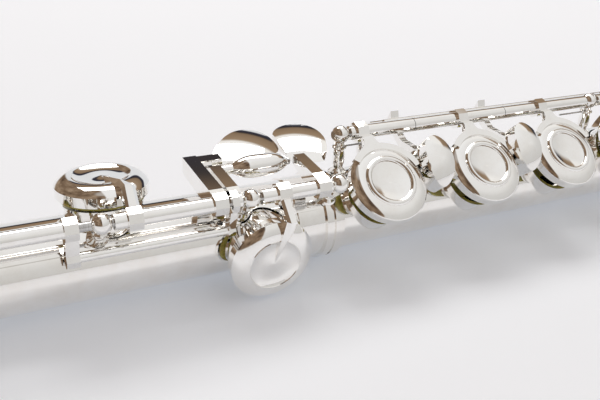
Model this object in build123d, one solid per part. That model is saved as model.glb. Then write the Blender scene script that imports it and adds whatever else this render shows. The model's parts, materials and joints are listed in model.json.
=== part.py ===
from build123d import *
import math
import os

# Concert flute with a C foot, built section by section: foot joint, body, head joint.
# Row frame: X runs along the tube from the open foot end to the crown, the origin is on the tube
# axis at the foot end, and Z is up as the flute lies on a table, rolled onto its keys' side.
# Each section is built in its own upright frame (keys on top, player on the +Y side) and is
# then rolled about the tube axis. All sizes are millimetres.

# ---- tube ----
BORE_R = 9.5
TUBE_WALL = 0.4
TUBE_R = BORE_R + TUBE_WALL
SOUNDING_LENGTH = 659.4          # sets every tone hole by equal temperament
TENON_GAP = 0.03                 # radial running fit of the tube joints

# ---- roll of each section on the table, degrees ----
BODY_ROLL = 46.6
FOOT_ROLL = 40.3

# ---- foot joint ----
SOCKET_LENGTH = 10.5
SOCKET_R = TUBE_R + 0.45
SOCKET_RING_LENGTH = 4.6
SOCKET_RING_R = TUBE_R + 1.1
FOOT_ROD_RADIUS = TUBE_R + 8.72  # rod axis from the tube axis
D_SHARP_ANGLE = 52.4             # hole direction from the foot rod, towards the audience
LOW_C_ANGLE = -50.0              # the two low C holes, towards the player
BYPASS_R = 1.1
BYPASS_Y = -4.07                 # bypass rod from the foot rod, in the foot frame
BYPASS_Z = -6.15

# ---- tone holes and cups ----
RIM_Z = TUBE_R + 2.3             # flat top of every chimney, from the tube axis
CHIMNEY_WALL = 0.45
RIM_BEAD = 0.3
FOOT_HOLE_R = BORE_R - 1.6       # the holes narrow towards the head
BODY_HOLE_R = BORE_R - 1.9
UPPER_HOLE_R = BORE_R - 2.5
INDEX_HOLE_R = 3.6
TRILL_HOLE_R = 3.8
CUP_MARGIN = 2.05                # cup radius beyond the hole radius
BODY_CUP_EXTRA = 0.25            # the lower body cups are a little wider again
CUP_WALL = 0.5
PAD_GAP = 0.05                   # pad clear of the rim when the key is down
PAD_PROUD = 0.9
PAD_SEAT = 2.1
CUP_HEIGHT = 3.9
RING_R = 5.75                    # raised finger ring of a plateau cup
RING_RISE = 0.65
DISH_DEPTH = 0.7
KEY_OPEN = 9.0                   # degrees a standing-open body key rises
FOOT_OPEN = 4.5                  # the same for the two low C keys, which turn on longer arms

# ---- hinges ----
HINGE_R = 1.75
PIVOT_R = 1.0
PIVOT_GAP = 0.04
COLLAR_R = HINGE_R + 0.85
COLLAR_W = 3.0
END_GAP = 0.15                   # between neighbouring hinge tubes
BALL_R = 2.25
POST_NECK_R = 1.2
STRAP_THICK = 0.7
STRAP_WIDTH = 5.0
SPINE_ANGLE = 5.0                # degrees of strap that run on beside the chimneys
SPRING_R = 0.22

# ---- rods of the body, in the body frame ----
BODY_ROD_Y = BODY_HOLE_R + CUP_MARGIN + 5.65
BODY_ROD_Z = RIM_Z + 1.4
TRILL_ROD_Y = BODY_ROD_Y + 2.1
TRILL_ROD_Z = BODY_ROD_Z - 2 * HINGE_R - 1.3

# ---- barrel and head joint ----
BARREL_LENGTH = 44.0
BARREL_R = TUBE_R + 0.85
BARREL_RING_R = TUBE_R + 1.45
HEAD_TENON = 24.0
HEAD_END_R = TUBE_R - 1.0
HEAD_WALL = 0.45
EMBOUCHURE_FROM_BARREL = 130.0
LIP_LENGTH = 44.0
LIP_WIDTH = 27.0
LIP_TOP_R = TUBE_R + 5.3
LIP_EDGE_R = TUBE_R + 0.7
LIP_THICK = 0.9
LIP_ARC = 24.0                   # half the length of the arc the plate is cut from
MOUTH_LENGTH = 12.2
MOUTH_WIDTH = 10.4
CORK_FROM_MOUTH = 17.3
CORK_LENGTH = 14.0
CROWN_LENGTH = 12.5
CROWN_R = HEAD_END_R + 0.7
HEAD_PAST_CORK = 26.0
STOPPER_ROD_R = 1.6


def hole_x(semitones):
    """Distance of a tone hole from the foot end, that many semitones above low C."""
    return SOUNDING_LENGTH * (1 - 2 ** (-semitones / 12))


LOW_C_X = hole_x(1)
C_SHARP_X = hole_x(2)
D_SHARP_X = hole_x(3)
D_X = hole_x(4)
E_X = hole_x(5)
F_X = hole_x(6)
F_SHARP_X = hole_x(7)
G_LOW_X = hole_x(8)
G_HIGH_X = hole_x(9)
A_X = hole_x(10)
B_FLAT_X = hole_x(11)
THUMB_X = hole_x(12)
INDEX_X = THUMB_X + 22.0
D_TRILL_X = INDEX_X + 19.5
DS_TRILL_X = D_TRILL_X + 18.0

SOCKET_START = D_SHARP_X + FOOT_HOLE_R + 2.7
SOCKET_END = SOCKET_START + SOCKET_LENGTH
BARREL_START = DS_TRILL_X + 27.0
BARREL_END = BARREL_START + BARREL_LENGTH
BODY_END = BARREL_END - HEAD_TENON - 1.0
HEAD_START = BODY_END + 1.0
MOUTH_X = BARREL_END + EMBOUCHURE_FROM_BARREL
CORK_X = MOUTH_X + CORK_FROM_MOUTH
CROWN_X = CORK_X + CORK_LENGTH + HEAD_PAST_CORK

# Posts and arms stand at fixed steps from the holes they serve.
POST_C_X = C_SHARP_X - 3.5
POST_B_X = D_SHARP_X - 4.5
POST_A_X = SOCKET_END - 3.6
POST_LOW_X = LOW_C_X - 16.0
FOOT_ARM_STEP = 3.0
C_SHARP_TOUCH_X = POST_B_X - 7.3
LOW_C_TOUCH_X = POST_B_X - 3.65
D_SHARP_TOUCH_X = POST_A_X - 4.7
LOW_C_LINK_X = POST_C_X - 6.0
POST_D_X = D_X - 6.9
ROD_END = BALL_R - 0.25          # pivot rods stop just inside their end balls
POST_F_X = 0.25 * F_X + 0.75 * F_SHARP_X
POST_G_X = (F_SHARP_X + G_LOW_X) / 2
POST_A_KEY_X = (A_X + B_FLAT_X) / 2
POST_END_X = INDEX_X + 7.0
RIB_START = POST_D_X - 2.6
RIB_END = POST_END_X + 4.0

BODY_ROD_ANGLE = -math.degrees(math.atan2(BODY_ROD_Y, BODY_ROD_Z))
BODY_ROD_RADIUS = math.hypot(BODY_ROD_Y, BODY_ROD_Z)
TRILL_ROD_ANGLE = -math.degrees(math.atan2(TRILL_ROD_Y, TRILL_ROD_Z))
TRILL_ROD_RADIUS = math.hypot(TRILL_ROD_Y, TRILL_ROD_Z)
TRILL_CUP_ANGLE = TRILL_ROD_ANGLE - 30.0
G_SHARP_ROD_ANGLE = -80.0
G_SHARP_ROD_RADIUS = TUBE_R + 6.5
G_SHARP_CUP_ANGLE = -129.0
THUMB_ROD_ANGLE = -92.0
THUMB_ROD_RADIUS = TUBE_R + 6.5
THUMB_CUP_ANGLE = -141.0

FOOT_CUP_R = FOOT_HOLE_R + CUP_MARGIN
BODY_CUP_R = BODY_HOLE_R + CUP_MARGIN + BODY_CUP_EXTRA
UPPER_CUP_R = UPPER_HOLE_R + CUP_MARGIN
INDEX_CUP_R = INDEX_HOLE_R + CUP_MARGIN
TRILL_CUP_R = TRILL_HOLE_R + CUP_MARGIN - 0.5
CUP_BASE_Z = RIM_Z + PAD_PROUD
CUP_TOP_Z = CUP_BASE_Z + CUP_HEIGHT


# ---------------------------------------------------------------- helpers

def rolled(shape, angle):
    return shape.rotate(Axis.X, angle)


def bar(x0, x1, radius, y=0.0, z=0.0):
    """Round bar along X."""
    level = (Align.CENTER, Align.CENTER, Align.MIN)
    return Pos(x0, y, z) * Rot(0, 90, 0) * Cylinder(radius, x1 - x0, align=level)


def pipe(x0, x1, outer, inner, y=0.0, z=0.0):
    return bar(x0, x1, outer, y, z) - bar(x0 - 1, x1 + 1, inner, y, z)


def at_hole(x, angle):
    """Frame on the tube axis whose Z points out through a tone hole."""
    return Rot(angle, 0, 0) * Pos(x, 0, 0)


def disc(radius, z0, z1):
    return Pos(0, 0, z0) * Cylinder(radius, z1 - z0, align=(Align.CENTER, Align.CENTER, Align.MIN))


def turned(points):
    """Solid of revolution about Z from an outline of (radius, height) points."""
    corners = [(r, 0, z) for r, z in points]
    return revolve(make_face(Polyline(*corners, close=True)), Axis.Z)


def level_arc(r0, z0, r1, z1):
    """Arc in the profile plane from (r0, z0) to (r1, z1) that is level where it ends."""
    run = r0 - r1
    rise = z1 - z0
    radius = (run * run + rise * rise) / (2 * rise)
    out_z = 2 * radius - rise
    share = abs(radius) / math.hypot(run, out_z)
    mid_r = r1 + share * run
    mid_z = z1 - radius + share * out_z
    return ThreePointArc((r0, 0, z0), (mid_r, 0, mid_z), (r1, 0, z1))


def outline_xz(*points):
    return Polyline(*[(r, 0, z) for r, z in points])


def closed_face(*edges):
    """Face inside a closed outline given edge by edge."""
    return make_face(Curve() + list(edges))


def lathe(*edges):
    """Solid of revolution about Z from a closed outline in the XZ plane."""
    return revolve(closed_face(*edges), Axis.Z)


def plate_in_yz(points, x0, x1):
    """Flat plate across the tube: (y, z) outline, thick along X."""
    corners = [(x0, y, z) for y, z in points]
    face = make_face(Polyline(*corners, close=True))
    return extrude(face, amount=x1 - x0, dir=(1, 0, 0))


def facets(x0, x1, radius, y=0.0, z=0.0, sides=8):
    """Faceted collar along X with a corner upward."""
    ring = []
    for i in range(sides):
        turn = 2 * math.pi * i / sides
        ring.append((y + radius * math.sin(turn), z + radius * math.cos(turn)))
    return plate_in_yz(ring, x0, x1)


def ridge_section(x, y, half, flat, low, shoulder, ridge):
    """Roof-shaped section of a pointed arm, standing across Y; flat is half the ridge's width."""
    corners = [
        (x - half, y, low),
        (x + half, y, low),
        (x + half, y, shoulder),
        (x + flat, y, ridge),
        (x - flat, y, ridge),
        (x - half, y, shoulder),
    ]
    return make_face(Polyline(*corners, close=True))


# ---------------------------------------------------------------- tubes

def chimney(x, angle, hole_r):
    wall = disc(hole_r + CHIMNEY_WALL, 0, RIM_Z)
    bead = disc(hole_r + CHIMNEY_WALL + RIM_BEAD, RIM_Z - 0.6, RIM_Z)
    return at_hole(x, angle) * (wall + bead)


def drilled_tube(x0, x1, holes):
    """Tube with a raised chimney round every hole."""
    tube = bar(x0, x1, TUBE_R)
    for x, angle, hole_r in holes:
        tube += chimney(x, angle, hole_r)
    tube -= bar(x0 - 1, x1 + 1, BORE_R)
    for x, angle, hole_r in holes:
        tube -= at_hole(x, angle) * disc(hole_r, 0, RIM_Z + 1)
    return tube


def strap(x0, x1, angle, width=STRAP_WIDTH):
    """Soldered strap under a row of posts, with rounded ends."""
    shell = pipe(x0, x1, TUBE_R + STRAP_THICK, TUBE_R)
    outline = extrude(Pos((x0 + x1) / 2, 0, 0) * SlotOverall(x1 - x0, width), amount=2 * TUBE_R)
    return rolled(shell & outline, angle)


def strap_past_holes(x0, x1, angle, hole_r):
    """Strap centred on its posts, wide enough to run on past the chimneys of that hole size."""
    half = math.degrees(math.asin(STRAP_WIDTH / 2 / TUBE_R))
    reach = min(1.0, (hole_r + CHIMNEY_WALL + RIM_BEAD) / TUBE_R)
    far = max(-angle + half, math.degrees(math.asin(reach)) + SPINE_ANGLE)
    near = -angle - half
    width = 2 * TUBE_R * math.sin(math.radians((far - near) / 2))
    return strap(x0, x1, -(far + near) / 2, width)


FOOT_HOLES = [
    (LOW_C_X, LOW_C_ANGLE, FOOT_HOLE_R),
    (C_SHARP_X, LOW_C_ANGLE, FOOT_HOLE_R),
    (D_SHARP_X, D_SHARP_ANGLE, FOOT_HOLE_R),
]
BODY_HOLES = [(x, 0, BODY_HOLE_R) for x in (D_X, E_X, F_X, F_SHARP_X)]
BODY_HOLES += [(x, 0, UPPER_HOLE_R) for x in (G_LOW_X, G_HIGH_X, A_X, B_FLAT_X)]
BODY_HOLES += [
    (G_LOW_X, G_SHARP_CUP_ANGLE, UPPER_HOLE_R),
    (THUMB_X, THUMB_CUP_ANGLE, UPPER_HOLE_R),
    (INDEX_X, 0, INDEX_HOLE_R),
    (D_TRILL_X, TRILL_CUP_ANGLE, TRILL_HOLE_R),
    (DS_TRILL_X, TRILL_CUP_ANGLE, TRILL_HOLE_R),
]


def clear_of_chimneys(shape, holes):
    for x, angle, hole_r in holes:
        shape -= at_hole(x, angle) * disc(hole_r + CHIMNEY_WALL + RIM_BEAD, 0, RIM_Z + 4)
    return shape


# ---------------------------------------------------------------- posts

def post(x, angle, radius, seat_r, springs=()):
    """Turned post with a ball end for a pivot rod, standing on a round seat of radius seat_r."""
    base = max(seat_r, TUBE_R + STRAP_THICK)
    neck = radius - BALL_R - 0.4
    low = base + 1.3
    shaft = lathe(
        outline_xz((0, radius), (0, seat_r - 1), (2.3, seat_r - 1), (2.3, base + 0.45), (1.9, base + 0.8)),
        Line((1.9, 0, base + 0.8), (POST_NECK_R, 0, low)),
        ThreePointArc((POST_NECK_R, 0, low), (1.55, 0, (low + neck - 0.9) / 2),
                      (POST_NECK_R, 0, neck - 0.9)),
        outline_xz((POST_NECK_R, neck - 0.9), (1.8, neck - 0.65), (1.8, neck - 0.3),
                   (POST_NECK_R, neck), (POST_NECK_R, radius), (0, radius)),
    )
    ball = Pos(0, 0, radius) * Sphere(BALL_R)
    piece = Pos(x, 0, 0) * (shaft + ball)
    piece -= bar(x - 5, x + 5, PIVOT_R, 0, radius)
    piece -= bar(x - 5, x + 5, seat_r)
    for spring in springs:
        piece -= spring
    return rolled(piece, angle)


def spring_wire(x, radius, reach, side):
    """Needle spring from a post towards its key, just under the rod."""
    height = radius - BALL_R - 1.2
    x0 = min(x, x + reach)
    return bar(x0 - 0.9, x0 + abs(reach) + 0.9, SPRING_R, side * 0.55, height)


# ---------------------------------------------------------------- cups and pads

def cup(radius, plateau):
    """Cup in its hole frame; a plateau cup has a raised ring for the finger round a dish."""
    if plateau:
        crest = CUP_TOP_Z - 0.5
        shoulder = crest - 1.0
        outer = RING_R + 0.85
        inner = RING_R - 0.65
        body = lathe(
            outline_xz((0, crest - DISH_DEPTH), (0, CUP_BASE_Z), (radius, CUP_BASE_Z),
                       (radius, shoulder - 0.2), (radius - 0.2, shoulder)),
            level_arc(radius - 0.2, shoulder, outer, crest),
            ThreePointArc((outer, 0, crest), (RING_R + 0.1, 0, crest + RING_RISE), (inner, 0, crest)),
            level_arc(inner, crest, 0, crest - DISH_DEPTH),
        )
    else:
        line = 0.62 * radius
        edge = CUP_BASE_Z + 2.2
        groove = 0.13
        hollow = CUP_TOP_Z - 0.65 * radius / FOOT_CUP_R
        body = lathe(
            outline_xz((0, hollow + 0.3), (0, CUP_BASE_Z), (radius, CUP_BASE_Z), (radius, edge)),
            level_arc(radius, edge, line + groove, CUP_TOP_Z),
            outline_xz((line + groove, CUP_TOP_Z), (line, CUP_TOP_Z - groove),
                       (line - groove, CUP_TOP_Z)),
            Spline((line - groove, 0, CUP_TOP_Z), (0.58 * line, 0, hollow),
                   (0.25 * line, 0, hollow + 0.1), (0, 0, hollow + 0.3)),
        )
    return body - disc(radius - CUP_WALL, CUP_BASE_Z - 1, CUP_BASE_Z + PAD_SEAT)


def pad(radius):
    """Felt pad in its cup: a disc with a softly rounded edge, proud of the cup."""
    r = radius - CUP_WALL - 0.02
    low = RIM_Z + PAD_GAP
    seat = CUP_BASE_Z + PAD_SEAT
    return turned([
        (0, low), (r - 0.5, low), (r - 0.15, low + 0.15), (r, low + 0.5), (r, seat), (0, seat),
    ])


def in_hole_frame(angle, rod_angle, rod_radius):
    """Rod position (y, z) as seen from a hole frame at the given angle."""
    turn = math.radians(rod_angle - angle)
    return -rod_radius * math.sin(turn), rod_radius * math.cos(turn)


def pointed_arm(cup_x, arm_x, radius, rod_y, rod_z):
    """Arm from the hinge collar over the cup's edge, tapering along a ridge to the cup's middle."""
    side = 1 if rod_y > 0 else -1
    half = COLLAR_W / 2 - 0.1
    top = CUP_TOP_Z
    lean = (cup_x - arm_x) * 0.25
    sections = [
        ridge_section(arm_x, rod_y, half, 0.8, rod_z - 0.6, rod_z + 1.9, rod_z + COLLAR_R),
        ridge_section(arm_x, side * (radius + 1.3), half, 0.7, top - 2.0, top + 0.6, top + 1.35),
        ridge_section(arm_x + lean, side * (radius - 2.2), 0.85 * half, 0.06, top - 0.9, top + 0.4,
                      top + 1.25),
        ridge_section(cup_x, side * 0.3, 0.12, 0.03, top - 1.2, top - 0.5, top - 0.3),
    ]
    return loft(sections, ruled=True)


def y_arm(arm_x, cup_x, radius, rod_y, rod_z):
    """Arm of a plateau key: it sweeps out from the collar into a crescent round the cup's rim."""
    outer = radius + 0.35
    inner = radius - 1.3
    low = CUP_BASE_Z + PAD_SEAT
    top = low + 1.35
    half = COLLAR_W / 2
    neck_y = rod_y - 3.0
    middle = Pos(cup_x, 0)

    def on_rim(turn):
        return (cup_x + outer * math.cos(math.radians(turn)), outer * math.sin(math.radians(turn)))

    sweep = []
    for x, turn, way in ((arm_x - half, 132, 1), (arm_x + half, 52, -1)):
        lean = math.radians(turn)
        along = (-way * math.sin(lean), way * math.cos(lean))
        sweep.append(Spline((x, neck_y), on_rim(turn), tangents=((0, -1), along)))
    neck = closed_face(
        sweep[0],
        Line(on_rim(132), on_rim(52)),
        sweep[1],
        Line((arm_x + half, neck_y), (arm_x - half, neck_y)),
    )
    wedge = Polyline((0, 0), (20, 20 * math.tan(math.radians(18))), (20, 30), (-20, 30),
                     (-20, 20 * math.tan(math.radians(42))), close=True)
    crescent = middle * (Circle(outer) & make_face(wedge))
    plan = Pos(0, 0, low) * extrude(neck + crescent, amount=top - low, dir=(0, 0, 1))
    plan -= Pos(cup_x, 0, low) * Cylinder(inner, 9)
    root = plate_in_yz([
        (rod_y, rod_z - 1.0),
        (neck_y, low),
        (neck_y - 0.6, low),
        (neck_y - 0.6, top),
        (neck_y, top),
        (rod_y - 0.7 * COLLAR_R, rod_z + 0.7 * COLLAR_R),
        (rod_y, rod_z + COLLAR_R),
    ], arm_x - half, arm_x + half)
    return plan + root


def hinge(x0, x1, collars, y, z):
    """Hinge tube with faceted collars, bored for its pivot rod."""
    tube = bar(x0, x1, HINGE_R, y, z)
    for x in collars:
        tube += facets(x - COLLAR_W / 2, x + COLLAR_W / 2, COLLAR_R, y, z)
    return tube


def bored(key, x0, x1, y, z):
    return key - bar(x0 - 1, x1 + 1, PIVOT_R + PIVOT_GAP, y, z)


def swung(shape, angle, y, z):
    """Turned about a rod parallel to X."""
    return shape.rotate(Axis((0, y, z), (1, 0, 0)), angle)


# ---------------------------------------------------------------- foot joint

def foot_key_arm(x, angle, open_angle):
    """Cup, pad and pointed arm of one foot key, in the foot frame, at rest."""
    rod_y, rod_z = in_hole_frame(angle, 0, FOOT_ROD_RADIUS)
    frame = Rot(angle, 0, 0)
    shell = frame * (Pos(x, 0, 0) * cup(FOOT_CUP_R, False)
                     + pointed_arm(x, x + FOOT_ARM_STEP, FOOT_CUP_R, rod_y, rod_z))
    felt = frame * Pos(x, 0, 0) * pad(FOOT_CUP_R)
    shell = swung(shell, open_angle, 0, FOOT_ROD_RADIUS)
    felt = swung(felt, open_angle, 0, FOOT_ROD_RADIUS)
    return shell, felt


def on_touch_frame(shape):
    """Touch pieces lie level when the foot is rolled: rod axis as origin, Y to the player."""
    return Pos(0, 0, FOOT_ROD_RADIUS) * rolled(shape, -FOOT_ROLL)


def touch_dome(outline, thick, crown, centre):
    """Spatula: closed outline, flat below, cut by a large sphere above."""
    slab = extrude(make_face(outline), amount=thick, dir=(0, 0, 1))
    ball = Pos(centre[0], centre[1], thick - crown) * Sphere(crown)
    return slab & ball


def c_sharp_touch():
    """Arm and rounded spatula of the low C sharp key."""
    x = C_SHARP_TOUCH_X
    arm = plate_in_yz([
        (0, -1.4), (0, 2.3), (2.0, 2.6), (19.6, 2.5), (19.6, -1.4), (17.5, -1.7), (4.0, -1.9),
    ], x - 1.6, x + 1.6)
    stem = Pos(x + 4.0, 17.9, 1.4) * Box(6.0, 3.0, 1.9)
    x0 = x + 5.4
    right = D_SHARP_TOUCH_X - 1.95
    outline = Spline(
        (x0, 16.6), (x0 + 0.3, 19.4), (x0 + 4.5, 24.6), (x0 + 10.5, 27.9), (right - 2.0, 27.0),
        (right, 23.0), (right - 0.3, 18.4), (right - 3.5, 16.5), (x0 + 9.0, 16.25),
        (x0 + 3.0, 16.3), periodic=True,
    )
    dome = Pos(0, 0, 0.2) * touch_dome(outline, 3.6, 34.0, (x0 + 9.0, 28.0))
    return on_touch_frame(arm + stem + dome)


def low_c_touch():
    """Arm of the low C key, which holds the roller pin."""
    x = LOW_C_TOUCH_X
    arm = plate_in_yz([
        (0, -1.6), (0, 2.3), (2.0, 2.6), (12.6, 2.7), (14.8, 1.9), (14.8, -0.2), (12.8, -0.6),
        (6.0, -1.9),
    ], x - 1.35, x + 1.35)
    return on_touch_frame(arm)


ROLLER_Y = 13.05
ROLLER_Z = 1.0
ROLLER_R = 2.75
ROLLER_START = LOW_C_TOUCH_X + 1.35
ROLLER_BODY = ROLLER_START + 3.7
ROLLER_END = D_SHARP_TOUCH_X - 2.6
PIN_R = 0.6


def roller():
    """Long rounded roller with a narrow neck, bored for its pin."""
    x0 = ROLLER_START + 0.15
    x1 = ROLLER_BODY
    x2 = ROLLER_END
    span = x2 - x1
    line = Spline(
        (x1, 1.5), (x1 + 0.25 * span, ROLLER_R * 0.97), (x1 + 0.5 * span, ROLLER_R),
        (x1 + 0.8 * span, ROLLER_R * 0.84), (x2, 0.95),
    )
    bore = PIN_R + PIVOT_GAP
    outline = Polyline((x2, 0.95), (x2, bore), (x0, bore), (x0, 1.15), (x1 - 0.6, 1.15), (x1, 1.5))
    piece = revolve(make_face(line + outline), Axis.X)
    return on_touch_frame(Pos(0, ROLLER_Y, ROLLER_Z) * piece)


def roller_pin():
    pin = bar(LOW_C_TOUCH_X - 1.35, ROLLER_END + 0.1, PIN_R, ROLLER_Y, ROLLER_Z)
    head = bar(ROLLER_END + 0.1, ROLLER_END + 0.6, 0.85, ROLLER_Y, ROLLER_Z)
    return on_touch_frame(pin + head)


def d_sharp_touch():
    """Arm and spatula of the D sharp key, with a straight wall beside the low C sharp touch."""
    x = D_SHARP_TOUCH_X
    arm = plate_in_yz([
        (0, -1.4), (0, 2.3), (2.0, 2.7), (12.0, 3.0), (12.0, 0.6), (4.0, -1.6),
    ], x - 1.45, x + 1.45)
    left = x - 1.45
    edge = Polyline((x + 1.45, 6.0), (left, 6.0), (left + 0.3, 24.5))
    curve = Spline(
        (left + 0.3, 24.5), (left + 3.4, 27.0), (left + 8.6, 26.2), (left + 11.6, 21.6),
        (left + 11.0, 15.4), (left + 7.8, 10.6), (x + 1.45, 6.0),
    )
    dome = Pos(0, 0, 0.6) * touch_dome(edge + curve, 3.6, 30.0, (x + 7.0, 25.0))
    return on_touch_frame(arm + dome)


def link_plate(x, half, lower_r):
    """Faceted plate from the foot rod down to the bypass rod."""
    upper = []
    lower = []
    for i in range(8):
        turn = math.radians(45 * i)
        upper.append((COLLAR_R * math.sin(turn), FOOT_ROD_RADIUS + COLLAR_R * math.cos(turn)))
        lower.append((BYPASS_Y + lower_r * math.sin(turn),
                      FOOT_ROD_RADIUS + BYPASS_Z + lower_r * math.cos(turn)))
    ends = plate_in_yz(upper, x - half, x + half) + plate_in_yz(lower, x - half, x + half)
    slope = math.atan2(BYPASS_Z, BYPASS_Y)
    ny = -math.sin(slope)
    nz = math.cos(slope)
    web = [
        (1.5 * ny, FOOT_ROD_RADIUS + 1.5 * nz),
        (-1.5 * ny, FOOT_ROD_RADIUS - 1.5 * nz),
        (BYPASS_Y - 1.1 * ny, FOOT_ROD_RADIUS + BYPASS_Z - 1.1 * nz),
        (BYPASS_Y + 1.1 * ny, FOOT_ROD_RADIUS + BYPASS_Z + 1.1 * nz),
    ]
    return ends + plate_in_yz(web, x - half, x + half)


def build_foot():
    pieces = {}
    rod = (0, FOOT_ROD_RADIUS)
    tube = drilled_tube(0, SOCKET_START, FOOT_HOLES)
    lip = pipe(0, 1.6, TUBE_R + 0.45, TUBE_R - 0.1)
    pieces["foot_tube"] = tube + lip
    sleeve = pipe(SOCKET_START, SOCKET_END, SOCKET_R, TUBE_R + TENON_GAP)
    ring_x = SOCKET_END - SOCKET_RING_LENGTH
    ring = pipe(ring_x, SOCKET_END, SOCKET_RING_R, TUBE_R + TENON_GAP)
    groove_x = SOCKET_END - 0.56 * SOCKET_RING_LENGTH
    ring -= pipe(groove_x - 0.3, groove_x + 0.3, SOCKET_RING_R + 1, SOCKET_RING_R - 0.45)
    seat = pipe(SOCKET_START - 1.2, SOCKET_START, SOCKET_R, TUBE_R)
    pieces["foot_socket"] = sleeve + ring + seat
    rib = strap(POST_LOW_X - 5, ring_x - 0.2, 0)
    rib = clear_of_chimneys(rib, FOOT_HOLES)
    pieces["foot_rib"] = rib - bar(SOCKET_START - 1.2, SOCKET_END, SOCKET_R)

    spring_spots = [(POST_LOW_X, 9.0), (POST_C_X, 9.0), (POST_A_X, -9.0)]
    springs = []
    for x, reach in spring_spots:
        springs.append(spring_wire(x, FOOT_ROD_RADIUS, reach, 1))
    posts = []
    for x in (POST_LOW_X, POST_C_X, POST_B_X):
        posts.append(post(x, 0, FOOT_ROD_RADIUS, TUBE_R + STRAP_THICK, springs))
    # The last post stands half on the strap and half on the socket ring.
    last = post(POST_A_X, 0, FOOT_ROD_RADIUS, TUBE_R + STRAP_THICK, springs)
    last -= bar(ring_x - 0.2, SOCKET_END + 5, SOCKET_RING_R)
    posts.append(last)
    pieces["foot_posts"] = [clear_of_chimneys(item, FOOT_HOLES) for item in posts]
    pieces["foot_springs"] = springs
    pieces["foot_pivot_rod"] = bar(POST_LOW_X - ROD_END, POST_A_X + ROD_END, PIVOT_R, *rod)

    # low C: long hinge tube at the foot end, a bypass rod past the C sharp key, and the roller arm
    x0 = POST_LOW_X + BALL_R + END_GAP
    x1 = LOW_C_LINK_X + 1.35
    touch0 = LOW_C_TOUCH_X - 1.35
    touch1 = POST_B_X - BALL_R - END_GAP
    shell, felt = foot_key_arm(LOW_C_X, LOW_C_ANGLE, FOOT_OPEN)
    key = shell + hinge(x0, x1, [LOW_C_X + FOOT_ARM_STEP], *rod)
    key += link_plate(LOW_C_LINK_X, 1.35, 2.0)
    key += bar(LOW_C_LINK_X, LOW_C_TOUCH_X, BYPASS_R, BYPASS_Y, FOOT_ROD_RADIUS + BYPASS_Z)
    key += link_plate(LOW_C_TOUCH_X - 0.55, 0.8, 1.6)
    key += bar(touch0, touch1, HINGE_R, *rod)
    key += low_c_touch()
    key -= on_touch_frame(bar(ROLLER_START - 5, ROLLER_START + 5, PIN_R, ROLLER_Y, ROLLER_Z))
    pieces["low_c_key"] = bored(key, x0, touch1, *rod)
    pieces["low_c_pad"] = felt
    pieces["low_c_roller"] = roller()
    pieces["roller_pin"] = roller_pin()

    # low C sharp
    x0 = POST_C_X + BALL_R + END_GAP
    x1 = C_SHARP_TOUCH_X + 1.6
    shell, felt = foot_key_arm(C_SHARP_X, LOW_C_ANGLE, FOOT_OPEN)
    key = shell + hinge(x0, x1, [C_SHARP_X + FOOT_ARM_STEP, C_SHARP_TOUCH_X], *rod)
    key += c_sharp_touch()
    pieces["low_c_sharp_key"] = bored(key, x0, x1, *rod)
    pieces["low_c_sharp_pad"] = felt

    # D sharp
    x0 = POST_B_X + BALL_R + END_GAP
    x1 = POST_A_X - BALL_R - END_GAP
    shell, felt = foot_key_arm(D_SHARP_X, D_SHARP_ANGLE, 0)
    key = shell + hinge(x0, x1, [D_SHARP_X + FOOT_ARM_STEP, D_SHARP_TOUCH_X], *rod)
    key += d_sharp_touch()
    pieces["d_sharp_key"] = bored(key, x0, x1, *rod)
    pieces["d_sharp_pad"] = felt
    return pieces


# ---------------------------------------------------------------- body

BODY_ROD = (BODY_ROD_Y, BODY_ROD_Z)
LIFT_BAR_R = 0.6                 # bar of the F sharp key that the D, E and F keys lift
LIFT_BAR_Y = BODY_ROD_Y + HINGE_R + 1.0
LIFT_BAR_Z = BODY_ROD_Z - HINGE_R


def body_key(spots, x0, x1, radius, plateau, extra=None, open_angle=-KEY_OPEN):
    """Key on the main body rod; spots are (hole x, arm x), one for each cup."""
    key = hinge(x0, x1, [arm_x for _, arm_x in spots], *BODY_ROD)
    felts = []
    for x, arm_x in spots:
        key += Pos(x, 0, 0) * cup(radius, plateau)
        if plateau:
            key += y_arm(arm_x, x, radius, *BODY_ROD)
        else:
            key += pointed_arm(x, arm_x, radius, *BODY_ROD)
        felts.append(swung(Pos(x, 0, 0) * pad(radius), open_angle, *BODY_ROD))
    if extra is not None:
        key += extra
    key = bored(key, x0, x1, *BODY_ROD)
    return swung(key, open_angle, *BODY_ROD), felts


def back_lug(x):
    """Small lug behind and under the rod that lifts the F sharp bar."""
    y = BODY_ROD_Y
    z = BODY_ROD_Z
    return plate_in_yz([
        (y - 0.6, z - 1.2), (y + 1.0, z - 0.6), (y + 1.5, z - 2.6), (y + 1.0, z - 3.0), (y + 0.4, z - 2.8),
    ], x - 1.0, x + 1.0)


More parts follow.
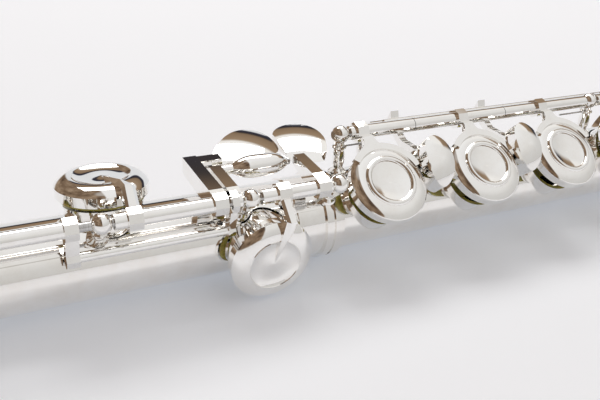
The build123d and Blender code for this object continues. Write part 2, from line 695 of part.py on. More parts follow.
def build_body_tube():
    pieces = {}
    tube = drilled_tube(SOCKET_START + 0.3, BODY_END, BODY_HOLES)
    pieces["body_tube"] = tube
    barrel = pipe(BARREL_START, BARREL_END, BARREL_R, TUBE_R)
    for x in (BARREL_START, BARREL_START + 6.5, BARREL_END - 9.0, BARREL_END - 3.0):
        barrel += pipe(x, x + 3.0, BARREL_RING_R, TUBE_R)
    for x in (BARREL_START + 1.5, BARREL_END - 1.5):
        barrel -= pipe(x - 0.25, x + 0.25, BARREL_RING_R + 1, BARREL_RING_R - 0.4)
    barrel -= bar(BODY_END, BARREL_END + 1, TUBE_R + TENON_GAP)
    pieces["barrel"] = barrel
    rib = strap_past_holes(RIB_START, RIB_END, BODY_ROD_ANGLE, BODY_HOLE_R)
    rib = clear_of_chimneys(rib, BODY_HOLES)
    pieces["main_rib"] = rib

    main_x = (POST_D_X, POST_F_X, POST_G_X, POST_A_KEY_X, POST_END_X)
    springs = []
    for x, reach in zip(main_x, (9.0, -9.0, 9.0, -9.0, -9.0)):
        springs.append(spring_wire(x, BODY_ROD_RADIUS, reach, 1))
    on_rib = TUBE_R + STRAP_THICK
    posts = [post(x, BODY_ROD_ANGLE, BODY_ROD_RADIUS, on_rib, springs) for x in main_x]
    pieces["main_posts"] = [clear_of_chimneys(item, BODY_HOLES) for item in posts]
    pieces["body_springs"] = [rolled(s, BODY_ROD_ANGLE) for s in springs]

    small = []
    for xs, angle, radius in (
        (TRILL_POSTS, TRILL_ROD_ANGLE, TRILL_ROD_RADIUS),
        (G_SHARP_POSTS, G_SHARP_ROD_ANGLE, G_SHARP_ROD_RADIUS),
        (THUMB_POSTS, THUMB_ROD_ANGLE, THUMB_ROD_RADIUS),
    ):
        for x in xs:
            foot = strap(x - 3.4, x + 3.4, angle, width=4.6)
            small.append(clear_of_chimneys(foot + post(x, angle, radius, TUBE_R), BODY_HOLES))
    pieces["small_posts"] = [item - rib for item in small]
    pieces["lower_pivot_rod"] = bar(POST_D_X - ROD_END, POST_G_X - 0.1, PIVOT_R, *BODY_ROD)
    pieces["upper_pivot_rod"] = bar(POST_G_X + 0.1, POST_END_X + ROD_END, PIVOT_R, *BODY_ROD)
    for name, xs, angle, radius in (
        ("g_sharp_pivot_rod", G_SHARP_POSTS, G_SHARP_ROD_ANGLE, G_SHARP_ROD_RADIUS),
        ("thumb_pivot_rod", THUMB_POSTS, THUMB_ROD_ANGLE, THUMB_ROD_RADIUS),
    ):
        pieces[name] = rolled(bar(xs[0] - ROD_END, xs[1] + ROD_END, PIVOT_R, 0, radius), angle)
    return pieces


TRILL_TOUCH_Y = 3.5              # the touches lie nearer the rod than the cups' middles
TRILL_TOUCH_DS_X = (D_X + E_X) / 2
TRILL_TOUCH_D_X = (E_X + F_X) / 2
TRILL_POSTS = (D_X + 2.2, DS_TRILL_X + 10.0)
G_SHARP_POSTS = (G_LOW_X - 10.5, G_HIGH_X - 0.5)
THUMB_POSTS = (THUMB_X - 30.5, THUMB_X + 11.0)


def build_body_keys():
    pieces = {}
    d0 = POST_D_X + BALL_R + END_GAP
    d1 = (D_X + E_X) / 2 - 0.6
    e1 = (E_X + F_X) / 2 + 0.4
    f1 = POST_F_X - BALL_R - END_GAP
    keys = [
        ("d", [(D_X, D_X - 1.5)], d0, d1, BODY_CUP_R, True, back_lug(D_X + 9.1)),
        ("e", [(E_X, E_X - 0.4)], d1 + END_GAP, e1, BODY_CUP_R, True, back_lug(E_X + 9.4)),
        ("f", [(F_X, F_X - 0.4)], e1 + END_GAP, f1, BODY_CUP_R, True, back_lug(F_X + 9.0)),
    ]
    # F sharp carries the long bar over the back lugs of D, E and F
    lift = bar(D_X + 7.6, F_SHARP_X + 1.2, LIFT_BAR_R, LIFT_BAR_Y, LIFT_BAR_Z)
    lift += plate_in_yz([
        (BODY_ROD_Y - 0.6, BODY_ROD_Z - 1.2), (BODY_ROD_Y + 0.6, BODY_ROD_Z + 1.2),
        (LIFT_BAR_Y + 0.3, LIFT_BAR_Z + 0.4), (LIFT_BAR_Y - 0.3, LIFT_BAR_Z - 0.4),
    ], F_SHARP_X - 2.0, F_SHARP_X + 1.0)
    keys.append(("f_sharp", [(F_SHARP_X, F_SHARP_X + 1.5)], POST_F_X + BALL_R + END_GAP,
                 POST_G_X - BALL_R - END_GAP, BODY_CUP_R, False, lift))
    g1 = (G_HIGH_X + A_X) / 2 - 5.0
    keys.append(("g", [(G_LOW_X, G_LOW_X), (G_HIGH_X, G_HIGH_X)], POST_G_X + BALL_R + END_GAP, g1,
                 UPPER_CUP_R, True, None))
    keys.append(("a", [(A_X, A_X)], g1 + END_GAP, POST_A_KEY_X - BALL_R - END_GAP, UPPER_CUP_R,
                 True, None))
    b1 = B_FLAT_X + 9.0
    keys.append(("b_flat", [(B_FLAT_X, B_FLAT_X + 1.5)], POST_A_KEY_X + BALL_R + END_GAP, b1,
                 UPPER_CUP_R, False, None))
    keys.append(("c", [(INDEX_X, INDEX_X - 0.5)], b1 + END_GAP, POST_END_X - BALL_R - END_GAP,
                 INDEX_CUP_R, False, None))
    for name, spots, x0, x1, radius, plateau, extra in keys:
        key, felts = body_key(spots, x0, x1, radius, plateau, extra)
        pieces[name + "_key"] = key
        pieces[name + ("_pads" if len(felts) > 1 else "_pad")] = felts
    return pieces


def trill_touch(x, width):
    """Deep teardrop touch between two cups, on an arm that passes under the main rod."""
    half = width / 2
    arm_x = x - half + 0.9
    y = TRILL_TOUCH_Y
    outline = Spline(
        (x, y + 6.6), (x - 0.8 * half, y + 4.4), (x - half, y + 0.2), (x - 0.75 * half, y - 4.2),
        (x, y - 6.6), (x + 0.75 * half, y - 4.2), (x + half, y + 0.2), (x + 0.8 * half, y + 4.4),
        periodic=True,
    )
    top = CUP_TOP_Z + 4.0
    crown_r = 11.0
    slab = Pos(0, 0, CUP_BASE_Z + 0.6) * extrude(make_face(outline), amount=top - CUP_BASE_Z,
                                                 dir=(0, 0, 1))
    crown = Pos(x, y + 0.6, top - crown_r) * Sphere(crown_r)
    low = CUP_BASE_Z + 1.6
    arm = plate_in_yz([
        (TRILL_ROD_Y, TRILL_ROD_Z + 1.0), (BODY_ROD_Y - 3.1, BODY_ROD_Z - 2.0), (8.0, low + 1.6),
        (5.0, low + 2.4), (2.0, low + 2.4), (2.0, low + 0.4), (5.6, low), (11.2, BODY_ROD_Z - 3.7),
        (TRILL_ROD_Y, TRILL_ROD_Z - 1.0),
    ], arm_x - 0.9, arm_x + 0.9)
    lug = plate_in_yz([
        (TRILL_ROD_Y + 0.2, TRILL_ROD_Z + 1.5), (TRILL_ROD_Y + 2.9, TRILL_ROD_Z + 2.7),
        (TRILL_ROD_Y + 1.6, TRILL_ROD_Z - 0.4), (TRILL_ROD_Y, TRILL_ROD_Z - 1.2),
    ], arm_x - 1.2, arm_x + 1.2)
    return (slab & crown) + arm + lug


def build_other_keys():
    pieces = {}
    gap = E_X - D_X - 2 * (BODY_CUP_R + 0.3)
    width = gap - 1.4
    rod = (TRILL_ROD_Y, TRILL_ROD_Z)
    lever_y, lever_z = in_hole_frame(TRILL_CUP_ANGLE, TRILL_ROD_ANGLE, TRILL_ROD_RADIUS)

    def trill_cup(x):
        turn = Rot(TRILL_CUP_ANGLE, 0, 0)
        shell = Pos(x, 0, 0) * cup(TRILL_CUP_R, False)
        shell += pointed_arm(x, x, TRILL_CUP_R, lever_y, lever_z)
        return turn * shell, turn * Pos(x, 0, 0) * pad(TRILL_CUP_R)

    # D trill: the outer tube
    x0 = TRILL_TOUCH_D_X - width / 2 - 0.6
    x1 = D_TRILL_X + 3.0
    shell, felt = trill_cup(D_TRILL_X)
    key = shell + hinge(x0, x1, [D_TRILL_X], *rod) + trill_touch(TRILL_TOUCH_D_X, width)
    pieces["d_trill_key"] = bored(key, x0, x1, *rod)
    pieces["d_trill_pad"] = felt

    # D sharp trill: a rod through that tube, with a sleeve at each end
    shell, felt = trill_cup(DS_TRILL_X)
    inner0 = TRILL_POSTS[0] + BALL_R + END_GAP
    inner1 = TRILL_POSTS[1] - BALL_R - END_GAP
    key = shell + hinge(x1 + END_GAP, inner1, [DS_TRILL_X], *rod)
    key += bar(inner0, x0 - END_GAP, HINGE_R, *rod)
    key += trill_touch(TRILL_TOUCH_DS_X, width)
    key = key - bar(TRILL_POSTS[0], TRILL_POSTS[1], PIVOT_R, *rod)
    key += bar(inner0, inner1, PIVOT_R, *rod)
    for x, way in ((inner0, -1), (inner1, 1)):
        tip = sorted((x, x + way * 3.6))
        key += bar(tip[0], tip[1], PIVOT_R - PIVOT_GAP, *rod)
    pieces["d_sharp_trill_key"] = key
    pieces["d_sharp_trill_pad"] = felt

    # G sharp: cup behind the tube, touch on the audience side between the two G cups
    rod_y, rod_z = in_hole_frame(0, G_SHARP_ROD_ANGLE, G_SHARP_ROD_RADIUS)
    low_y, low_z = in_hole_frame(G_SHARP_CUP_ANGLE, G_SHARP_ROD_ANGLE, G_SHARP_ROD_RADIUS)
    x0 = G_SHARP_POSTS[0] + BALL_R + END_GAP
    x1 = G_SHARP_POSTS[1] - BALL_R - END_GAP
    touch_x = (G_LOW_X + G_HIGH_X) / 2
    key = Rot(G_SHARP_CUP_ANGLE, 0, 0) * (
        Pos(G_LOW_X, 0, 0) * cup(UPPER_CUP_R, False)
        + pointed_arm(G_LOW_X, G_LOW_X, UPPER_CUP_R, low_y, low_z))
    key += hinge(x0, x1, [G_LOW_X, touch_x], rod_y, rod_z)
    lever = plate_in_yz([
        (rod_y, rod_z - 1.0), (rod_y + 1.0, rod_z + 1.6), (12.6, 8.8), (10.6, 12.9), (4.0, 15.2),
        (-9.0, 15.4), (-12.6, 13.8), (-12.6, 12.6), (-9.0, 13.9), (3.4, 13.7), (9.4, 11.4),
        (11.0, 7.6), (rod_y - 2.0, rod_z),
    ], touch_x - 1.0, touch_x + 1.0)
    spatula = extrude(Pos(touch_x - 3.0, -16.0) * SlotOverall(19.0, 7.4), amount=6)
    spatula = Pos(0, 0, 8.5) * spatula & Pos(touch_x - 3.0, -16.0, -8.2) * Sphere(22.0)
    spatula -= Pos(touch_x - 3.0, -16.0, -9.6) * Sphere(22.0)
    pieces["g_sharp_key"] = bored(key + lever + spatula, x0, x1, rod_y, rod_z)
    pieces["g_sharp_pad"] = Rot(G_SHARP_CUP_ANGLE, 0, 0) * Pos(G_LOW_X, 0, 0) * pad(UPPER_CUP_R)

    # thumb B and thumb B flat, on one rod behind the tube
    rod_y, rod_z = in_hole_frame(0, THUMB_ROD_ANGLE, THUMB_ROD_RADIUS)
    low_y, low_z = in_hole_frame(THUMB_CUP_ANGLE, THUMB_ROD_ANGLE, THUMB_ROD_RADIUS)
    x0 = THUMB_POSTS[0] + BALL_R + END_GAP
    x1 = THUMB_POSTS[1] - BALL_R - END_GAP
    split = THUMB_X - UPPER_CUP_R - 0.9
    thumb = Rot(THUMB_CUP_ANGLE, 0, 0)
    key = thumb * (Pos(THUMB_X, 0, 0) * cup(UPPER_CUP_R, False)
                   + pointed_arm(THUMB_X, THUMB_X, UPPER_CUP_R, low_y, low_z))
    key += hinge(split, x1, [THUMB_X], rod_y, rod_z)
    key = bored(key, x0, x1, rod_y, rod_z)
    pieces["thumb_b_key"] = swung(key, KEY_OPEN, rod_y, rod_z)
    felt = thumb * Pos(THUMB_X, 0, 0) * pad(UPPER_CUP_R)
    pieces["thumb_b_pad"] = swung(felt, KEY_OPEN, rod_y, rod_z)
    lever_x = (x0 + split) / 2
    paddle = extrude(Pos(lever_x, low_y * 0.25) * SlotOverall(14.0, 9.0), amount=1.5)
    reach = plate_in_yz([
        (low_y, low_z - 1.0), (low_y, low_z + 1.6), (low_y * 0.6, CUP_TOP_Z - 0.1), (0.5, CUP_TOP_Z - 0.1),
        (0.5, CUP_TOP_Z - 1.5), (low_y * 0.6, CUP_TOP_Z - 1.6),
    ], lever_x - 1.5, lever_x + 1.5)
    key = thumb * (Pos(0, 0, CUP_TOP_Z - 1.5) * paddle + reach)
    key += hinge(x0, split - END_GAP, [lever_x], rod_y, rod_z)
    key = bored(key, x0, x1, rod_y, rod_z)
    pieces["b_flat_thumb_lever"] = swung(key, KEY_OPEN, rod_y, rod_z)
    return pieces


# ---------------------------------------------------------------- head joint

def cone_bar(x0, x1, r0, r1):
    level = (Align.CENTER, Align.CENTER, Align.MIN)
    return Pos(x0, 0, 0) * Rot(0, 90, 0) * Cone(r0, r1, x1 - x0, align=level)


def head_radius(x):
    """Outer radius of the tapered part of the head tube."""
    share = (x - BARREL_END) / (CROWN_X - BARREL_END)
    return TUBE_R + share * (HEAD_END_R - TUBE_R)


def oval(length, width, x, z0, z1):
    return extrude(Pos(x, 0, z0) * Ellipse(length / 2, width / 2), amount=z1 - z0)


def build_head():
    pieces = {}
    outer = bar(HEAD_START, BARREL_END, TUBE_R) + cone_bar(BARREL_END, CROWN_X, TUBE_R, HEAD_END_R)
    inner = bar(HEAD_START - 1, BARREL_END, BORE_R)
    inner += cone_bar(BARREL_END, CROWN_X, TUBE_R - TUBE_WALL, HEAD_END_R - HEAD_WALL)
    inner += bar(CROWN_X - 0.5, CROWN_X + 1, HEAD_END_R - HEAD_WALL)
    mouth = oval(MOUTH_LENGTH, MOUTH_WIDTH, MOUTH_X, 2, 30)
    ring = pipe(BARREL_END + 0.6, BARREL_END + 3.2, TUBE_R + 0.5, TUBE_R - 0.2)
    pieces["head_tube"] = outer - inner + (ring - bar(HEAD_START, CROWN_X, BORE_R)) - mouth

    start = MOUTH_X - LIP_ARC
    end = MOUTH_X + LIP_ARC
    under = LIP_EDGE_R - LIP_THICK
    band = revolve(closed_face(
        ThreePointArc((start, 0, LIP_EDGE_R), (MOUTH_X, 0, LIP_TOP_R), (end, 0, LIP_EDGE_R)),
        Line((end, 0, LIP_EDGE_R), (end, 0, under)),
        ThreePointArc((end, 0, under), (MOUTH_X, 0, LIP_TOP_R - LIP_THICK), (start, 0, under)),
        Line((start, 0, under), (start, 0, LIP_EDGE_R)),
    ), Axis.X)
    plate = band & oval(LIP_LENGTH, LIP_WIDTH, MOUTH_X, 0, 30)
    pieces["lip_plate"] = plate - mouth
    below_plate = revolve(closed_face(
        ThreePointArc((start, 0, under), (MOUTH_X, 0, LIP_TOP_R - LIP_THICK), (end, 0, under)),
        Line((end, 0, under), (end, 0, 0)),
        Line((end, 0, 0), (start, 0, 0)),
        Line((start, 0, 0), (start, 0, under)),
    ), Axis.X)
    riser = oval(MOUTH_LENGTH + 5, MOUTH_WIDTH + 5, MOUTH_X, 4, LIP_TOP_R) & below_plate
    riser -= outer
    pieces["embouchure_riser"] = riser - mouth

    cork_r = head_radius(CORK_X + CORK_LENGTH) - TUBE_WALL - 0.08
    pieces["stopper_cork"] = pipe(CORK_X, CORK_X + CORK_LENGTH, cork_r, STOPPER_ROD_R)
    lower = bar(CORK_X - 1.5, CORK_X, cork_r)
    upper = pipe(CORK_X + CORK_LENGTH, CORK_X + CORK_LENGTH + 1.5, cork_r, STOPPER_ROD_R)
    pieces["stopper_plates"] = [lower, upper]
    pieces["stopper_rod"] = bar(CORK_X, CROWN_X + 7.0, STOPPER_ROD_R)
    crown = bar(CROWN_X + 0.2, CROWN_X + CROWN_LENGTH - 3.0, CROWN_R)
    crown += cone_bar(CROWN_X + CROWN_LENGTH - 3.0, CROWN_X + CROWN_LENGTH - 1.0, CROWN_R, 7.4)
    crown += cone_bar(CROWN_X + CROWN_LENGTH - 1.0, CROWN_X + CROWN_LENGTH, 7.4, 4.0)
    crown += bar(CROWN_X - 4.0, CROWN_X + 1.0, HEAD_END_R - HEAD_WALL - 0.12)
    crown -= bar(CROWN_X - 5, CROWN_X + 8.5, STOPPER_ROD_R + PIVOT_GAP)
    for x in (CROWN_X + 2.0, CROWN_X + 6.4):
        crown -= pipe(x, x + 0.5, CROWN_R + 1, CROWN_R - 0.4)
    pieces["crown"] = crown
    return pieces


# ---------------------------------------------------------------- assembly

def save(name, shape, roll):
    solids = []
    for item in shape if isinstance(shape, list) else [shape]:
        solids.extend(rolled(item, roll).solids())
    target = solids[0] if len(solids) == 1 else Compound(children=solids)
    export_step(target, "parts/" + name + ".step")


def main():
    os.makedirs("parts", exist_ok=True)
    for section, roll in (
        (build_foot(), FOOT_ROLL),
        (build_body_tube(), BODY_ROLL),
        (build_body_keys(), BODY_ROLL),
        (build_other_keys(), BODY_ROLL),
        (build_head(), BODY_ROLL),
    ):
        for name, shape in section.items():
            save(name, shape, roll)


if __name__ == "__main__":
    main()
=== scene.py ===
import json
import math

import bpy
from mathutils import Matrix, Vector


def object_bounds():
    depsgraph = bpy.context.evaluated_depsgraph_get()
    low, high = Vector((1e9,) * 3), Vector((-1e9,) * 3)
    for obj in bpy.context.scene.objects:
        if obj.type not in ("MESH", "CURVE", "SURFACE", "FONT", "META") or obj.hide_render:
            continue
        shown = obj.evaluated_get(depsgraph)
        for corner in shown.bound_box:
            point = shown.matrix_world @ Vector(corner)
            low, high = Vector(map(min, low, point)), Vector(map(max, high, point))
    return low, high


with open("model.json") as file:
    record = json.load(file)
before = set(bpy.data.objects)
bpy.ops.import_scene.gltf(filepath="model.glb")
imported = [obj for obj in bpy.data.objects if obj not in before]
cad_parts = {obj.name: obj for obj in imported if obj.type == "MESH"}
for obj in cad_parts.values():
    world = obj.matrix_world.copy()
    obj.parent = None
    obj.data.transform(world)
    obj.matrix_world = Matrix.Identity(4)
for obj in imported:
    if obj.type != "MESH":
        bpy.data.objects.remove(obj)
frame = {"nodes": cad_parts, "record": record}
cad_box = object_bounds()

NODES = frame["nodes"]
LOW, HIGH = cad_box
FLOOR_Z = LOW[2]

# Texture scales are per metre, bump depths in metres.
CLOUD_SCALE = 240.0
SPECK_SCALE = 2600.0
SCRATCH_STRETCH = (160.0, 5200.0, 5200.0)
SCRATCH_STRENGTH = 0.035
SCRATCH_DEPTH = 0.00002
GRIND_STRETCH = (6000.0, 300.0, 300.0)
GRIND_STRENGTH = 0.1
GRIND_DEPTH = 0.00003
SKIN_MOTTLE = 700.0
SKIN_WRINKLES = 1500.0
SKIN_STRENGTH = 0.25
SKIN_DEPTH = 0.00015
CORK_CELLS = 900.0
CORK_SPOTS = 420.0
CORK_STRENGTH = 0.35
CORK_DEPTH = 0.0002
PAPER_FIBRE = 900.0
# Painted fill light: the floor paper glows evenly, which brightens it and lightens the shadows on it.
PAPER_PAINTED_FILL_LIGHT = 0.20
PAPER_PAINTED_FILL_COLOUR = (0.80, 0.88, 1.0, 1.0)

# The room by direction: each pair is where a change starts and ends, in Y or X of a unit direction.
FRONT_TO_BACK = (-0.05, 0.12)
RIGHT_TO_LEFT = (0.03, -0.03)
LEFT_PLAIN = (0.80, 0.795, 0.785, 1.0)
PLANK_SCALE = 3.2

STUDIO = 6.0                     # half the side of the floor, in metres
SOFTBOX_PLACE = (0.35, 0.85, 1.35)
SOFTBOX_AIM = (0.12, 0, 0)
SOFTBOX_SIZE = (1.3, 0.6)
SOFTBOX_POWER = 12.0
SOFTBOX_COLOUR = (1.0, 0.995, 0.985)


# ---------------------------------------------------------------- node helpers

def new_material(name):
    """Empty node material: returns the material, its tree and the output node."""
    material = bpy.data.materials.new(name)
    material.use_nodes = True
    tree = material.node_tree
    tree.nodes.clear()
    output = tree.nodes.new("ShaderNodeOutputMaterial")
    return material, tree, output


def add(tree, kind, inputs=None, **settings):
    """New node with settings, and inputs given as values or as sockets to link."""
    node = tree.nodes.new(kind)
    for key, value in settings.items():
        setattr(node, key, value)
    for key, value in (inputs or {}).items():
        socket = node.inputs[key]
        if isinstance(value, bpy.types.NodeSocket):
            tree.links.new(value, socket)
        else:
            socket.default_value = value
    return node


def ramp(tree, factor, stops, interpolation="LINEAR"):
    """Colour ramp from (position, colour) stops; returns its colour output."""
    node = add(tree, "ShaderNodeValToRGB", {"Fac": factor})
    node.color_ramp.interpolation = interpolation
    elements = node.color_ramp.elements
    while len(elements) < len(stops):
        elements.new(0.5)
    for element, (position, colour) in zip(elements, stops):
        element.position = position
        element.color = (*colour, 1.0)
    return node.outputs["Color"]


def grey(value):
    return (value, value, value)


def share(tree, value, start, end):
    """0 to 1, smoothly, as value goes from start to end."""
    node = add(tree, "ShaderNodeMapRange", {"Value": value, "From Min": start, "From Max": end},
               interpolation_type="SMOOTHSTEP")
    return node.outputs["Result"]


def blend(tree, amount, first, second):
    """Colour that goes from first to second as amount goes from 0 to 1."""
    node = add(tree, "ShaderNodeMix", {0: amount, 6: first, 7: second}, data_type="RGBA")
    return node.outputs[2]


# ---------------------------------------------------------------- materials

def object_coordinates(tree):
    return add(tree, "ShaderNodeTexCoord").outputs["Object"]


def silver_plate(name, colour, tarnish, rough_low, rough_high):
    """Polished plate: faint cloudy wear in the polish, fine buffing scratches, warm tarnish."""
    material, tree, output = new_material(name)
    place = object_coordinates(tree)
    cloud = add(tree, "ShaderNodeTexNoise", {
        "Vector": place, "Scale": CLOUD_SCALE, "Detail": 5.0, "Roughness": 0.62,
    })
    fine = add(tree, "ShaderNodeTexNoise", {
        "Vector": place, "Scale": SPECK_SCALE, "Detail": 3.0, "Roughness": 0.55,
    })
    along = add(tree, "ShaderNodeMapping", {"Vector": place, "Scale": SCRATCH_STRETCH})
    scratch = add(tree, "ShaderNodeTexNoise", {"Vector": along.outputs["Vector"], "Scale": 1.0,
                                               "Detail": 2.0, "Roughness": 0.5})
    base = ramp(tree, cloud.outputs["Fac"], [(0.32, tarnish), (0.58, colour)])
    rough = ramp(tree, cloud.outputs["Fac"], [(0.30, grey(rough_high)), (0.62, grey(rough_low))])
    speck = ramp(tree, fine.outputs["Fac"], [(0.55, grey(0.0)), (0.85, grey(0.06))])
    rough_sum = add(tree, "ShaderNodeMath", {0: rough, 1: speck}, operation="ADD")
    bump = add(tree, "ShaderNodeBump", {
        "Height": scratch.outputs["Fac"], "Strength": SCRATCH_STRENGTH, "Distance": SCRATCH_DEPTH,
    })
    shader = add(tree, "ShaderNodeBsdfPrincipled", {
        "Base Color": base, "Roughness": rough_sum.outputs["Value"], "Normal": bump.outputs["Normal"],
        "Metallic": 1.0, "IOR": 1.6,
    })
    tree.links.new(shader.outputs["BSDF"], output.inputs["Surface"])
    return material


def ground_steel(name, colour, rough):
    """Drawn or ground steel: faint rings round the rod."""
    material, tree, output = new_material(name)
    place = object_coordinates(tree)
    rings = add(tree, "ShaderNodeMapping", {"Vector": place, "Scale": GRIND_STRETCH})
    grind = add(tree, "ShaderNodeTexNoise", {"Vector": rings.outputs["Vector"], "Scale": 1.0,
                                             "Detail": 3.0})
    tone = ramp(tree, grind.outputs["Fac"], [(0.3, tuple(0.8 * c for c in colour)), (0.7, colour)])
    gloss = ramp(tree, grind.outputs["Fac"], [(0.3, grey(rough + 0.12)), (0.7, grey(rough))])
    bump = add(tree, "ShaderNodeBump", {
        "Height": grind.outputs["Fac"], "Strength": GRIND_STRENGTH, "Distance": GRIND_DEPTH,
    })
    shader = add(tree, "ShaderNodeBsdfPrincipled", {
        "Base Color": tone, "Roughness": gloss, "Normal": bump.outputs["Normal"], "Metallic": 1.0,
    })
    tree.links.new(shader.outputs["BSDF"], output.inputs["Surface"])
    return material


def pad_skin():
    """Oiled skin over felt: mottled olive yellow with a wrinkled surface."""
    material, tree, output = new_material("pad_skin")
    place = object_coordinates(tree)
    mottle = add(tree, "ShaderNodeTexNoise", {"Vector": place, "Scale": SKIN_MOTTLE, "Detail": 6.0,
                                              "Roughness": 0.6})
    wrinkle = add(tree, "ShaderNodeTexVoronoi", {"Vector": place, "Scale": SKIN_WRINKLES},
                  feature="DISTANCE_TO_EDGE")
    colour = ramp(tree, mottle.outputs["Fac"], [
        (0.25, (0.20, 0.16, 0.025)), (0.5, (0.42, 0.36, 0.07)), (0.75, (0.60, 0.53, 0.15)),
    ])
    bump = add(tree, "ShaderNodeBump", {
        "Height": wrinkle.outputs["Distance"], "Strength": SKIN_STRENGTH, "Distance": SKIN_DEPTH,
    })
    shader = add(tree, "ShaderNodeBsdfPrincipled", {
        "Base Color": colour, "Roughness": ramp(tree, mottle.outputs["Fac"],
                                                [(0.3, grey(0.30)), (0.7, grey(0.48))]),
        "Normal": bump.outputs["Normal"], "Subsurface Weight": 0.12, "Subsurface Scale": 0.001,
    })
    tree.links.new(shader.outputs["BSDF"], output.inputs["Surface"])
    return material


def cork_skin():
    """Natural cork: brown with dark spots and a cell bump."""
    material, tree, output = new_material("cork")
    place = object_coordinates(tree)
    cells = add(tree, "ShaderNodeTexVoronoi", {"Vector": place, "Scale": CORK_CELLS})
    spots = add(tree, "ShaderNodeTexNoise", {"Vector": place, "Scale": CORK_SPOTS, "Detail": 4.0})
    tone = ramp(tree, spots.outputs["Fac"], [
        (0.34, (0.16, 0.08, 0.04)), (0.44, (0.50, 0.31, 0.16)), (0.70, (0.66, 0.46, 0.27)),
    ])
    bump = add(tree, "ShaderNodeBump", {
        "Height": cells.outputs["Distance"], "Strength": CORK_STRENGTH, "Distance": CORK_DEPTH,
    })
    shader = add(tree, "ShaderNodeBsdfPrincipled", {
        "Base Color": tone, "Roughness": ramp(tree, spots.outputs["Fac"],
                                              [(0.3, grey(0.9)), (0.7, grey(0.7))]),
        "Normal": bump.outputs["Normal"],
    })
    tree.links.new(shader.outputs["BSDF"], output.inputs["Surface"])
    return material


MATERIALS = {
    "tube_plate": silver_plate("tube_plate", (0.93, 0.915, 0.89), (0.90, 0.875, 0.84), 0.035, 0.075),
    "key_plate": silver_plate("key_plate", (0.94, 0.93, 0.91), (0.91, 0.89, 0.86), 0.02, 0.05),
    "lip_silver": silver_plate("lip_silver", (0.94, 0.93, 0.90), (0.90, 0.87, 0.83), 0.03, 0.08),
    "pad_skin": pad_skin(),
    "cork": cork_skin(),
    "spring_steel": ground_steel("spring_steel", (0.48, 0.47, 0.46), 0.22),
    "rod_steel": ground_steel("rod_steel", (0.62, 0.61, 0.60), 0.16),
}


def finish_cad_nodes():
    """Give every CAD node the material of its slot."""
    slots = {s["node"]: s["material_slot"] for s in frame["record"]["subparts"]}
    for name, node in NODES.items():
        slot = slots[name]
        node.data.materials.clear()
        node.data.materials.append(MATERIALS[slot])


finish_cad_nodes()


# ---------------------------------------------------------------- floor, light and camera

def floor_material():
    material, tree, output = new_material("studio_paper")
    place = object_coordinates(tree)
    fibre = add(tree, "ShaderNodeTexNoise", {"Vector": place, "Scale": PAPER_FIBRE, "Detail": 4.0})
    tone = ramp(tree, fibre.outputs["Fac"], [(0.3, (0.83, 0.835, 0.855)), (0.7, (0.85, 0.855, 0.875))])
    # The emission is painted fill light that lightens the floor and its shadows.
    shader = add(tree, "ShaderNodeBsdfPrincipled", {
        "Base Color": tone, "Roughness": 0.75, "Specular IOR Level": 0.2,
        "Emission Color": PAPER_PAINTED_FILL_COLOUR, "Emission Strength": PAPER_PAINTED_FILL_LIGHT,
    })
    tree.links.new(shader.outputs["BSDF"], output.inputs["Surface"])
    return material


def studio_floor():
    mesh = bpy.data.meshes.new("studio_floor")
    middle = (LOW[0] + HIGH[0]) / 2
    corners = [(middle + sx * STUDIO, sy * STUDIO, FLOOR_Z) for sx, sy in
               ((-1, -1), (1, -1), (1, 1), (-1, 1))]
    mesh.from_pydata(corners, [], [(0, 1, 2, 3)])
    floor = bpy.data.objects.new("studio_floor", mesh)
    bpy.context.scene.collection.objects.link(floor)
    mesh.materials.append(floor_material())


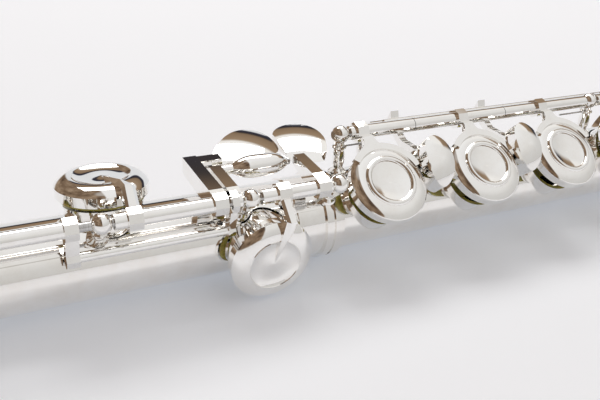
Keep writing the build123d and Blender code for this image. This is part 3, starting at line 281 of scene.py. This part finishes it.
def studio_world():
    """Soft white room that the metal reflects: its left side is brown, its back has a dark band."""
    world = bpy.data.worlds.new("studio")
    bpy.context.scene.world = world
    world.use_nodes = True
    tree = world.node_tree
    tree.nodes.clear()
    output = tree.nodes.new("ShaderNodeOutputWorld")
    direction = add(tree, "ShaderNodeTexCoord").outputs["Generated"]
    parts = add(tree, "ShaderNodeSeparateXYZ", {"Vector": direction}).outputs
    height = parts["Z"]

    front = ramp(tree, height, [
        (0.0, (0.60, 0.59, 0.575)), (0.35, (0.66, 0.65, 0.635)), (0.62, (0.78, 0.77, 0.755)),
        (0.85, (0.82, 0.81, 0.80)), (1.0, (0.88, 0.88, 0.88)),
    ])
    back = ramp(tree, height, [
        (0.0, (0.80, 0.81, 0.83)), (0.335, (0.74, 0.75, 0.77)), (0.36, (0.030, 0.032, 0.052)),
        (0.43, (0.045, 0.038, 0.038)), (0.47, (0.24, 0.165, 0.105)), (0.63, (0.33, 0.235, 0.155)),
        (0.67, (0.90, 0.88, 0.85)), (1.0, (0.88, 0.88, 0.88)),
    ])
    planks = add(tree, "ShaderNodeTexNoise", {
        "Vector": direction, "Scale": PLANK_SCALE, "Detail": 3.0, "Roughness": 0.55,
    }).outputs["Fac"]
    wood = ramp(tree, planks, [
        (0.30, (0.07, 0.045, 0.032)), (0.48, (0.20, 0.135, 0.088)), (0.68, (0.36, 0.265, 0.185)),
    ])
    wood_height = ramp(tree, height, [
        (0.02, grey(0.0)), (0.10, grey(1.0)), (0.97, grey(1.0)), (0.99, grey(0.6)),
    ])
    room = blend(tree, share(tree, parts["Y"], *FRONT_TO_BACK), front, back)
    left = blend(tree, wood_height, LEFT_PLAIN, wood)
    room = blend(tree, share(tree, parts["X"], *RIGHT_TO_LEFT), room, left)
    background = add(tree, "ShaderNodeBackground", {"Color": room, "Strength": 1.0})
    tree.links.new(background.outputs["Background"], output.inputs["Surface"])


def area_light(name, place, target, size, power, colour):
    data = bpy.data.lights.new(name, "AREA")
    data.shape = "RECTANGLE"
    data.size = size[0]
    data.size_y = size[1]
    data.energy = power
    data.color = colour
    light = bpy.data.objects.new(name, data)
    bpy.context.scene.collection.objects.link(light)
    light.location = place
    light.rotation_euler = (Vector(target) - Vector(place)).to_track_quat("-Z", "Y").to_euler()


def camera_at(azimuth, elevation, roll, distance, target, lens):
    """Camera looking at target; azimuth 0 looks along +Y, angles in degrees."""
    az = math.radians(azimuth)
    el = math.radians(elevation)
    forward = Vector((math.sin(-az) * math.cos(el), math.cos(az) * math.cos(el), -math.sin(el)))
    right = forward.cross(Vector((0, 0, 1))).normalized()
    up = right.cross(forward)
    turn = math.radians(roll)
    x_axis = right * math.cos(turn) + up * math.sin(turn)
    y_axis = up * math.cos(turn) - right * math.sin(turn)
    matrix = Matrix((x_axis, y_axis, -forward)).transposed().to_4x4()
    matrix.translation = Vector(target) - forward * distance
    data = bpy.data.cameras.new("camera")
    data.sensor_width = 36.0
    data.lens = lens
    data.clip_start = 0.005
    data.clip_end = 50.0
    data.dof.use_dof = False
    camera = bpy.data.objects.new("camera", data)
    bpy.context.scene.collection.objects.link(camera)
    camera.matrix_world = matrix
    bpy.context.scene.camera = camera


studio_floor()
studio_world()
area_light("back_softbox", SOFTBOX_PLACE, SOFTBOX_AIM, SOFTBOX_SIZE, SOFTBOX_POWER, SOFTBOX_COLOUR)
camera_at(azimuth=-28.61, elevation=27.96, roll=4.38, distance=0.17548,
          target=(0.11909, 0.0, 0.00446), lens=42.64)
bpy.context.scene.view_settings.view_transform = "Standard"
